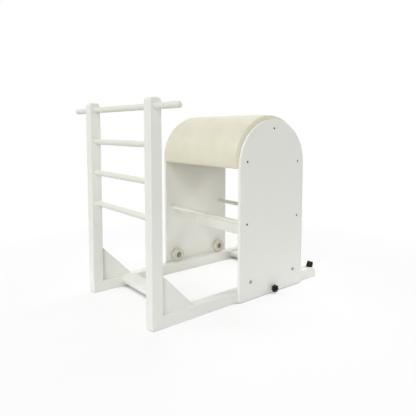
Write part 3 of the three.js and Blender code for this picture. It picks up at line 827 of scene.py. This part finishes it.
def buildPanel(side):
    low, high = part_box(f"{side}_side_panel")
    foot, edge, headDepth = panel["footCorner"], panel["edge"], panelScrew["headDepth"]
    points = [
        *arc(archX, archZ, archRadius, 0, 180, panel["archSteps"]),
        *arc(low.x + foot, low.z + foot, foot, 180, 270, panel["footSteps"]),
        *arc(high.x - foot, low.z + foot, foot, 270, 360, panel["footSteps"]),
    ]
    wide, narrow = (panelScrew[key] + panelScrew["clearance"] for key in ("head", "shank"))
    through = high.y - low.y + edge
    countersink = [(0, -through), (narrow, -through), (narrow, -headDepth),
                   (wide, 0), (wide, edge), (0, edge)]
    cutters = []
    for place in fixings:
        spot = middle(f"{side}_screw_{place}")
        cutters.append(turned(countersink, facets["small"], (spot.x, outerFace(side), spot.z), sides[side]))
    mesh = softened(combined(slab(points, low.y, high.y, edge), cutters))
    addPiece(f"{side}SidePanel", mesh, "carriage", f"{side}_side_panel", "board")


def buildPanelScrew(side, place):
    node, sign, outerY = f"{side}_screw_{place}", sides[side], outerFace(side)
    low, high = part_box(node)
    spot, length = middle(node), high.y - low.y
    head, shank, face = panelScrew["head"], panelScrew["shank"], -panelScrew["sunk"]
    neck = face - panelScrew["headDepth"]
    profile = [(0, -length), *threaded(shank, *panelScrew["thread"], -length + shank, neck - shank),
               (shank, neck), (head, face - panelScrew["rim"]),
               (head - panelScrew["rimEase"], face), (0, face)]
    screw = turned(profile, facets["small"], (spot.x, outerY, spot.z), sign)
    cross = crossRecess((spot.x, outerY + sign * face, spot.z), panelScrew)
    addPiece(named(node), softened(combined(screw, cross)), "carriage", node, "blackOxideSteel")


for side in sides:
    buildPanel(side)
    for place in fixings:
        buildPanelScrew(side, place)
for end in ("front", "rear"):
    buildRung(f"{end}_spreader_dowel", "carriage")
buildBoard("stretcher_board", "carriage")
print("carriage built")


# Bent shell and battens under the pad

shell = {"thickness": 9 * mm, "steps": 96, "edge": 0.6 * mm, "edgeSteps": 2}
batten = {"width": 34 * mm, "depth": 60 * mm, "gap": 0.4 * mm,
          "edge": 1.2 * mm, "edgeSteps": 3, "arcSteps": 6}


def buildShell():
    low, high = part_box("barrel_shell")
    outer = (high.x - low.x) / 2
    inner = outer - shell["thickness"]
    points = [
        (archX + outer, low.z), *arc(archX, archZ, outer, 0, 180, shell["steps"]), (archX - outer, low.z),
        (archX - inner, low.z), *arc(archX, archZ, inner, 180, 0, shell["steps"]), (archX + inner, low.z),
    ]
    mesh = softened(slab(points, low.y, high.y, shell["edge"], shell["edgeSteps"]))
    addPiece("bentShell", mesh, "carriage", "barrel_shell", "plywood")


def buildBatten(node):
    low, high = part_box(node)
    screw = middle(f"right_screw_{node}")
    tilt = degrees(atan2(screw.z - archZ, screw.x - archX))
    reach = archRadius - shell["thickness"] - batten["gap"]
    across = batten["width"] / 2
    half = degrees(asin(across / reach))
    foot = reach - batten["depth"]
    points = [(foot, -across), *arc(0, 0, reach, -half, half, batten["arcSteps"]), (foot, across)]
    mesh = slab(points, low.y, high.y, batten["edge"], batten["edgeSteps"])
    mesh.transform(Matrix.Translation((archX, 0, archZ)) @ Matrix.Rotation(radians(-tilt), 4, "Y"))
    addPiece(named(node), softened(mesh), "carriage", node, "batten")


buildShell()
for place in ("top", "front", "rear"):
    buildBatten(f"{place}_batten")


# Upholstered pad: foam wrapped in synthetic leather round the shell

pad = {
    "thickness": 23.4 * mm,      # before it swells
    "edgeRadius": 4 * mm,
    "cornerSteps": 6,
    "sideLean": 4 * mm,          # the sides lean in from the seat to the shoulder
    "shoulderDrop": 4 * mm,      # the shoulder's depth below the flat top
    "shoulderReach": 45 * mm,    # over which it rises to the top
    "drawIn": 0.2 * mm,
    "sideGap": 0.2 * mm,         # to the panels
    "fullerShare": 0.17,         # the foam is fuller over the front shoulder, thinner at the rear
    "fullestAt": 60,             # degrees up from the front
    "rearThinner": 0.42,         # share lost behind the top, where the cover is pulled tight
    "thinFrom": 78, "thinTo": 140,       # degrees from the front
    "seat": 0.3 * mm,
    "seatCrease": 1 * mm,        # how sharply the side turns under to the seat
    "cell": 9 * mm,
    "taper": 170 * mm,           # over which the foam thins towards its front and rear ends
    "taperShare": 0.35,
    "lipLength": 32 * mm,        # over which the cover then turns under
    "lipShares": (0, 0.03, 0.1, 0.22, 0.4, 0.65),     # places along the tail below the arch's axis
    "lipFullness": 0.3,
    "pressure": 4.0,
    "quality": 6,                # steps of the simulation in one frame
    "frames": 20,
    "held": 1.5 * mm,            # the cover stays where it lies this close to the shell
    "cap": 1.1 * mm,
    "swell": 1.0 * mm,           # crown at the middle
    "unevenness": 0.2 * mm,
    "lumpSize": 70 * mm,
    "fill": 0.85,
}


def padSection(halfWidth):
    # points across the pad as (across, outwards), from one seat edge over the top to the other
    thickness, radius = pad["thickness"], pad["edgeRadius"]
    lean, drop = pad["sideLean"], pad["shoulderDrop"]
    foot = -(halfWidth - pad["drawIn"])
    shoulder = halfWidth - lean - radius
    corner = thickness - drop - radius
    half = [(foot, 0), (foot, pad["seatCrease"]), (-halfWidth + lean / 2, corner / 2)]
    for angle in quarterTurn(pad["cornerSteps"]):
        half.append((-shoulder - radius * cos(angle), corner + radius * sin(angle)))
    count = round(shoulder / pad["cell"])
    for step in range(1, count):
        inward = shoulder * step / count
        left = max(1 - inward / pad["shoulderReach"], 0)
        half.append((inward - shoulder, thickness - drop * left * left))
    return half + [(0, thickness)] + [(-across, out) for across, out in reversed(half)]


def padStations(radius, tail):
    # along the path: angle round the arch, drop below its axis, distance from the nearer end
    ends = [(0, tail * (1 - share), tail * share) for share in pad["lipShares"]]
    count = round(pi * radius / pad["cell"])
    arch = []
    for i in range(count + 1):
        angle = pi * i / count
        arch.append((angle, 0, tail + radius * min(angle, pi - angle)))
    return ends + arch + [(pi, drop, along) for _, drop, along in reversed(ends)]


def padFullness(angle, along):
    # share of the section's thickness at a station
    inward = 1 - min(along / pad["lipLength"], 1)
    fullness = pad["lipFullness"] + (1 - pad["lipFullness"]) * sqrt(1 - inward * inward)
    fullness *= 1 + pad["fullerShare"] * cos(angle - radians(pad["fullestAt"]))
    fullness *= 1 - pad["taperShare"] * (1 - min(along / pad["taper"], 1)) ** 2
    thin = (degrees(angle) - pad["thinFrom"]) / (pad["thinTo"] - pad["thinFrom"])
    thin = min(max(thin, 0), 1)
    return fullness * (1 - pad["rearThinner"] * thin * thin * (3 - 2 * thin))


def padForm():
    radius = archRadius + pad["seat"]
    section = padSection(-panelBox[1].y - pad["sideGap"])
    columns = len(section)
    seatEdge = section[0][0] + pad["seatCrease"]
    seatRow = [(seatEdge * (1 - 2 * j / (columns - 3)), 0) for j in range(columns - 2)]
    vertices = []
    stations = padStations(radius, archZ - padBox[0].z)
    for angle, drop, along in stations:
        fullness = padFullness(angle, along)
        for across, out in [*section, *reversed(seatRow)]:
            reach = radius + out * fullness
            x, z = archX - reach * cos(angle), archZ + reach * sin(angle) - drop
            vertices.append((x, across, z))
    ring = 2 * columns - 2
    faces = bandFaces(len(stations), ring)
    for start in (0, (len(stations) - 1) * ring):
        for j in range(columns - 1):
            underHere = (ring - j) % ring
            underNext = ring - j - 1 if j + 1 < columns - 1 else columns - 1
            corners = (j, j + 1, underNext, underHere)
            faces.append(tuple(dict.fromkeys(start + corner for corner in corners)))
    return meshFrom(vertices, faces)


def fromArch(point):
    # distance outwards from the arch's surface, and the way outwards; both are level below the axis
    across = Vector((point.x - archX, 0, max(point.z - archZ, 0)))
    return across.length - archRadius, across.normalized()


def inflated(mesh):
    piece = linked("padInflating", mesh)
    start = [v.co.copy() for v in mesh.vertices]
    held = piece.vertex_groups.new(name="held")
    held.add([v.index for v in mesh.vertices if fromArch(v.co)[0] < pad["held"]], 1.0, "REPLACE")
    cloth = piece.modifiers.new("swelling", "CLOTH")
    cloth.settings.quality = pad["quality"]
    cloth.settings.use_pressure = True
    cloth.settings.uniform_pressure_force = pad["pressure"]
    cloth.settings.vertex_group_mass = held.name
    cloth.settings.effector_weights.gravity = 0
    cloth.point_cache.frame_start = 1
    cloth.point_cache.frame_end = pad["frames"]
    for number in range(1, pad["frames"] + 1):
        bpy.context.scene.frame_set(number)
    swollen = evaluatedMesh(piece)
    for before, vertex in zip(start, swollen.vertices):
        step = vertex.co - before
        step.y = 0               # the panels hold the sides
        if step.length > pad["cap"]:
            vertex.co = before + step * (pad["cap"] / step.length)
    bpy.data.objects.remove(piece)
    bpy.context.scene.frame_set(1)
    return swollen


def buildPad():
    mesh = inflated(padForm())
    for vertex in mesh.vertices:
        height, out = fromArch(vertex.co)
        if height < pad["seat"]:
            vertex.co += out * (pad["seat"] - height)
        else:
            lump = noise.noise(vertex.co / pad["lumpSize"]) * pad["unevenness"]
            vertex.co += out * lump * min(height / pad["thickness"], 1)
    mesh.polygons.foreach_set("use_smooth", [True] * len(mesh.polygons))
    piece = addPiece("barrelPad", mesh, "carriage", "barrel_pad", "leather")
    piece.modifiers.new("finer", "SUBSURF").render_levels = 1


buildPad()
print("pad built")


# Wheels, bearings, axles

wheel = {
    "tyreInner": 17 * mm, "innerSink": 2 * mm, "innerEase": 1.6 * mm,
    "groove": 30 * mm, "grooveWidth": 0.9 * mm, "sideSink": 0.6 * mm,
    "shoulder": 7 * mm, "shoulderSteps": 8, "treadHalf": 4.5 * mm,
    "coreOuter": 18 * mm, "coreBore": 11.2 * mm, "coreHalf": 9 * mm,
    "coreEdge": 0.6 * mm, "coreEdgeShare": 0.97,
    "ribs": 12, "ribDepth": 0.8 * mm, "pointsPerRib": 8,
}
bearing = {"bore": 4.1 * mm, "innerRace": 6.1 * mm, "outerRace": 9.4 * mm, "sealSink": 0.5 * mm,
           "sealReach": 1.5,     # sinks below the face within which a face belongs to the seal
           "edge": 0.3 * mm}
axle = {
    "shank": 4 * mm, "rim": 1.2 * mm, "domeSteps": 10, "socket": 2.9 * mm, "socketDepth": 2.8 * mm,
    "threadPitch": 1.25 * mm, "threadDepth": 0.55 * mm, "threadLength": 16 * mm,
    "tipTaper": 0.9 * mm, "seatEase": 0.4 * mm,
}
nut = {
    "acrossFlats": 13 * mm, "chamfer": 0.9 * mm, "collar": 5.3 * mm, "collarLean": 0.8 * mm,
    "ease": 0.1 * mm, "clearance": 0.05 * mm,
    "prismShare": 0.35,          # of half the nut's length, where the hexagon ends
}
spacer = {"clearance": 0.2 * mm, "edge": 0.5 * mm, "edgeSteps": 3}


def boreCutter(radius, half):
    return [(0, -half), (radius, -half), (radius, half), (0, half)]


def buildTyre(corner):
    # a thick tyre with a shallow groove in its side
    node = f"{corner}_wheel"
    radius, half = roundSize(node)
    inner, sink, groove, width = (wheel[key] for key in ("tyreInner", "sideSink", "groove", "grooveWidth"))
    quarter = [(inner, -half + wheel["innerSink"]), (inner + wheel["innerEase"], -half + sink),
               (groove - width, -half + sink), (groove, -half + sink + width), (groove + width, -half)]
    for angle in quarterTurn(wheel["shoulderSteps"]):
        quarter.append((radius - wheel["shoulder"] * (1 - sin(angle)),
                        -half + (half - wheel["treadHalf"]) * (1 - cos(angle))))
    tyre = softened(turned(mirrored(quarter), facets["tyre"], middle(node), closed=True))
    addPiece(named(f"{corner}_tyre"), tyre, f"{corner}_roller", node, "castPolyurethane")


def buildCore(corner):
    # the ribbed core that the tyre is cast round, lying deeper than its sides
    centre = middle(f"{corner}_wheel")
    half, edge, share, depth = (wheel[key] for key in ("coreHalf", "coreEdge", "coreEdgeShare", "ribDepth"))
    levels = [(-half, share), (-half + edge, 1), (half - edge, 1), (half, share)]
    mean = wheel["coreOuter"] - depth
    core = lobedRing(centre, 1, levels, mean, depth, wheel["ribs"], wheel["pointsPerRib"])
    bore = boreCutter(wheel["coreBore"], roundSize(f"{corner}_wheel")[1])
    core = softened(combined(core, [turned(bore, centre=centre)]))
    addPiece(named(f"{corner}_wheel_core"), core, f"{corner}_roller", None, "oliveNylon")


def buildBearing(corner):
    node = f"{corner}_bearing"
    outer, half = roundSize(node)
    bore, inner, rim = bearing["bore"], bearing["innerRace"], bearing["outerRace"]
    sink, edge = bearing["sealSink"], bearing["edge"]
    face = [(bore, -half + edge), (bore + edge, -half), (inner, -half), (inner, -half + sink),
            (rim, -half + sink), (rim, -half), (outer - edge, -half), (outer, -half + edge)]
    centre = middle(node)
    mesh = softened(turned(mirrored(face), centre=centre, closed=True))
    piece = addPiece(named(node), mesh, f"{corner}_roller", node, "groundSteel", "bearingSeal")
    for polygon in piece.data.polygons:
        spot = polygon.center - centre
        onSeal = inner < hypot(spot.x, spot.z) < rim
        polygon.material_index = 1 if onSeal and abs(spot.y) > half - bearing["sealReach"] * sink else 0


def hexagon(radius, low, high):
    corners = [radians(60 * i) for i in range(6)]
    return slab([(radius * cos(a), radius * sin(a)) for a in corners], low, high)


def outwardEnds(node, face, sign):
    # the inner and the outer end of a solid, measured outwards from a panel's face
    low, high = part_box(node)
    return sorted((sign * (low.y - face), sign * (high.y - face)))


def buildBolt(corner, side):
    # built along +Y from the panel's face, then turned to its side
    node, face, sign = f"{corner}_axle_bolt", outerFace(side), sides[side]
    low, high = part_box(node)
    head, shank, rim = (high.x - low.x) / 2, axle["shank"], axle["rim"]
    tip, crown = outwardEnds(node, face, sign)
    dome = [(head * cos(a), rim + (crown - rim) * sin(a)) for a in quarterTurn(axle["domeSteps"])]
    taper, ease, threadEnd = axle["tipTaper"], axle["seatEase"], tip + axle["threadLength"]
    thread = threaded(shank, axle["threadDepth"], axle["threadPitch"], tip + taper, threadEnd)
    profile = [(0, tip), (shank - taper, tip), *thread, (shank, threadEnd + taper / 2),
               (shank, 0), (head - ease, 0), (head, ease), *dome]
    bolt = combined(turned(profile), [hexagon(axle["socket"], crown - axle["socketDepth"], crown + rim)])
    centre = middle(node)
    turn = Matrix.Rotation(0 if sign > 0 else pi, 4, "Z")
    bolt.transform(Matrix.Translation((centre.x, face, centre.z)) @ turn)
    addPiece(named(node), softened(bolt), "carriage", node, "zincPlatedSteel")


def buildNut(corner, side):
    # a chamfered hexagon with the round collar of a lock nut
    node = f"{corner}_axle_nut"
    half, across, collar = roundSize(node)[1], nut["acrossFlats"] / 2, nut["collar"]
    point = across / cos(radians(30))
    beyond, lean = point + nut["ease"], nut["collarLean"]
    bevel = [(0, -half), (across, -half), (beyond, -half + nut["chamfer"]), (beyond, half), (0, half)]
    ring = [(0, 0), (collar + lean, 0), (collar, half - lean), (collar - lean, half), (0, half)]
    body = combined(hexagon(point, -half, half * nut["prismShare"]), [turned(bevel)], "INTERSECT")
    body = combined(body, [turned(ring)], "UNION")
    body = combined(body, [turned(boreCutter(axle["shank"] + nut["clearance"], 1), facets["small"])])
    turn = Matrix.Rotation(pi if sides[side] > 0 else 0, 4, "Z")
    body.transform(Matrix.Translation(middle(node)) @ turn)
    addPiece(named(node), softened(body), "carriage", node, "zincPlatedSteel")


def buildSpacer(corner):
    node = f"{corner}_axle_spacer"
    (outer, half), bore = roundSize(node), axle["shank"] + spacer["clearance"]
    corners = [(bore, -half), (outer, -half), (outer, half), (bore, half)]
    profile = easedProfile(corners, spacer["edge"], spacer["edgeSteps"], True)
    mesh = softened(turned(profile, facets["medium"], middle(node), closed=True))
    addPiece(named(node), mesh, "carriage", node, "zincPlatedSteel")


for side in sides:
    for end in ("front", "rear"):
        corner = f"{side}_{end}"
        buildTyre(corner)
        buildCore(corner)
        buildBearing(corner)
        buildBolt(corner, side)
        buildNut(corner, side)
        buildSpacer(corner)
print("wheels built")


# Clamp knobs and their inserts

knob = {
    "lobes": 7, "lobeDepth": 2.6 * mm, "pointsPerLobe": 20, "edge": 3.2 * mm, "edgeSteps": 5,
    "innerEdge": 0.6,            # height of the edge towards the panel over that of the outer edge
    "crown": ((0.3 * mm, 0.72), (0, 0.5)),       # depth below the top and share of the size
    "collar": 11 * mm, "collarLength": 12 * mm, "collarFoot": 0.3 * mm, "collarEase": 0.6 * mm,
    "collarShoulder": 0.9 * mm, "collarFlare": 1.5 * mm,
    "plug": 8 * mm, "plugSink": 0.8 * mm, "domeRise": 1.2 * mm, "sharpFrom": 45,
}
stud = {"radius": 4 * mm, "thread": (0.55 * mm, 1.25 * mm), "taper": 1 * mm, "root": 4 * mm}
insert = {"sleeve": 6 * mm, "bore": 4.15 * mm, "flangeThickness": 1.2 * mm, "edge": 0.3 * mm, "edgeSteps": 2}


def buildKnob(side):
    node, sign, face = f"{side}_clamp_knob", sides[side], outerFace(side)
    spot = middle(f"{side}_clamp_insert")
    centre = (spot.x, face, spot.z)
    tip, reach = outwardEnds(node, face, sign)
    size, edge, length = roundSize(node)[0], knob["edge"], knob["collarLength"]
    levels = [(edge * (1 - sin(a)), 1 - edge * (1 - cos(a)) / size)
              for a in quarterTurn(knob["edgeSteps"])]
    bottom = [(length + down * knob["innerEdge"], share) for down, share in reversed(levels)]
    top = [(reach - knob["domeRise"] - down, share) for down, share in reversed(levels)]
    crown = [(reach - down, share) for down, share in knob["crown"]]
    depth = knob["lobeDepth"]
    levels = bottom + top + crown
    head = lobedRing(centre, sign, levels, size - depth, depth, knob["lobes"], knob["pointsPerLobe"])
    plug, sunk, collar, foot = knob["plug"], reach - knob["plugSink"], knob["collar"], knob["collarFoot"]
    cap = [(0, sunk), (plug, sunk), (plug, reach + edge), (0, reach + edge)]
    head = combined(head, [turned(cap, facets["medium"], centre, sign)])
    neck = [(0, foot), (collar - knob["collarEase"], foot), (collar, knob["collarShoulder"]),
            (collar + knob["collarFlare"], length + edge), (0, length + edge)]
    head = combined(head, [turned(neck, facets["medium"], centre, sign)], "UNION")
    addPiece(named(node), softened(head, knob["sharpFrom"]), f"{side}_knob", node, "blackNylon")
    radius, taper, root = stud["radius"], stud["taper"], stud["root"]
    thread = threaded(radius, *stud["thread"], tip + taper, root)
    profile = [(0, tip), (radius - taper, tip), *thread, (0, root)]
    mesh = softened(turned(profile, facets["small"], centre, sign))
    addPiece(f"{side}ClampStud", mesh, f"{side}_knob", None, "zincPlatedSteel")


def buildInsert(side):
    node, sign = f"{side}_clamp_insert", sides[side]
    low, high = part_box(node)
    length, flange, spot = high.y - low.y, (high.z - low.z) / 2, middle(node)
    bore, sleeve, thickness = insert["bore"], insert["sleeve"], insert["flangeThickness"]
    corners = [(bore, 0), (flange, 0), (flange, thickness),
               (sleeve, thickness), (sleeve, length), (bore, length)]
    profile = easedProfile(corners, insert["edge"], insert["edgeSteps"], True)
    centre = (spot.x, low.y if sign > 0 else high.y, spot.z)
    mesh = softened(turned(profile, facets["medium"], centre, sign, True))
    addPiece(named(node), mesh, "carriage", node, "zincPlatedSteel")


for side in sides:
    buildKnob(side)
    buildInsert(side)
print("clamps built")


# Studio: white paper sweep, pale surroundings, broad lamps far away

studio = {
    "nearSky": 0.05,             # surroundings on the camera's side, as a share of full white
    "farSky": 0.40,              # the brighter backdrop behind the ladder barrel
    "skyTurn": -42,              # degrees from +Y round to the middle of the backdrop
    "floorHex": "#F9F9F8",
    "paintedPoolFadedHex": "#C6C6C4",
    "fade": (0.8, 2.0),          # metres from the middle over which the light pool painted on the paper fades
    "floorWhite": 0.82,          # share of plain white where the camera looks at the nearby floor
    "contactReach": 60 * mm,     # nearness at which a piece above darkens the floor with a painted contact shadow
    "contact": (0.12, 0.56),     # open share of the sky there: darkest, and plain white again
    "contactWhite": 0.2,
    "paper": {"Roughness": 0.9, "Specular IOR Level": 0.1},
    "floorSize": 60.0,
}
# towards: where the lamp stands as seen from the ladder barrel; share: light on a surface that faces it
lamps = {
    "keyLeft": {"towards": (-0.64, -0.42, 0.64), "share": 0.35, "softness": 22},
    "fillRight": {"towards": (0.75, -0.36, 0.56), "share": 0.15, "softness": 14},
    "cameraSide": {"towards": (-0.60, -0.78, 0.17), "share": 0.20, "softness": 22},
    "topBack": {"towards": (0.30, 0.45, 0.84), "share": 0.15, "softness": 22},
    "backLeft": {"towards": (-0.72, 0.50, 0.48), "share": 0.25, "softness": 22},
    "backRight": {"towards": (0.70, 0.25, 0.67), "share": 0.20, "softness": 22},
    "backRightLow": {"towards": (0.95, 0.10, 0.28), "share": 0.28, "softness": 22},
}
plainWhite = (1, 1, 1, 1)


def seenShare(tree):
    # 1 for what the camera sees itself, in a mirror or through glass
    path = addNode(tree, "LightPath", {}, {}).outputs
    first = computed(tree, "MAXIMUM", path["Is Camera Ray"], path["Is Glossy Ray"])
    return computed(tree, "MAXIMUM", first, path["Is Transmission Ray"])


def buildWorld():
    world = bpy.data.worlds.new("whiteStudio")
    bpy.context.scene.world = world
    world.use_nodes = True
    tree = world.node_tree
    background = tree.nodes["Background"]
    background.inputs["Color"].default_value = plainWhite
    turn = radians(studio["skyTurn"])
    backdrop = (-sin(turn), cos(turn), 0)
    place = addNode(tree, "TexCoord", {}, {}).outputs["Generated"]
    facing = addNode(tree, "VectorMath", {"operation": "DOT_PRODUCT", 1: backdrop}, {0: place})
    sky = mapped(tree, facing.outputs["Value"], studio["nearSky"], studio["farSky"], (-1, 1))
    strength = computed(tree, "MAXIMUM", sky, seenShare(tree))
    tree.links.new(strength.outputs[0], background.inputs["Strength"])


def buildFloor():
    half = studio["floorSize"] / 2
    mesh = meshFrom([(-half, -half, 0), (half, -half, 0), (half, half, 0), (-half, half, 0)], [(0, 1, 2, 3)])
    material, tree, shader, place = newMaterial("whiteSeamlessPaper", studio["paper"])
    away = addNode(tree, "VectorMath", {"operation": "LENGTH"}, {0: place}).outputs["Value"]
    fade = mapped(tree, away, 0, 1, studio["fade"])
    # painted light pool: the paper's colour darkens from the middle outwards
    paper = blended(tree, fade, studio["floorHex"], studio["paintedPoolFadedHex"])
    tree.links.new(paper.outputs[2], shader.inputs["Base Color"])
    # painted contact shadow: the white glow the camera sees dims with the occlusion of pieces close above
    nearness = addNode(tree, "AmbientOcclusion", {"Distance": studio["contactReach"]}, {}).outputs["AO"]
    seen = addNode(tree, "LightPath", {}, {}).outputs["Is Camera Ray"]
    white = computed(tree, "MULTIPLY", seen, mapped(tree, fade, studio["floorWhite"], 1))
    contact = mapped(tree, nearness, studio["contactWhite"], 1, studio["contact"])
    glow = addNode(tree, "Emission", {"Color": plainWhite}, {"Strength": contact})
    dimmed = addNode(tree, "MixShader", {}, {0: white, 1: shader, 2: glow})
    tree.links.new(dimmed.outputs[0], tree.nodes["Material Output"].inputs["Surface"])
    mesh.materials.append(material)
    linked("studioFloor", mesh)


def buildLamp(name, lamp):
    data = bpy.data.lights.new(name, "SUN")
    data.energy = lamp["share"] * pi
    data.angle = radians(lamp["softness"])
    item = linked(name, data)
    item.rotation_euler = Vector(lamp["towards"]).to_track_quat("Z", "Y").to_euler()


buildWorld()
buildFloor()
for name, lamp in lamps.items():
    buildLamp(name, lamp)
print("studio lit")
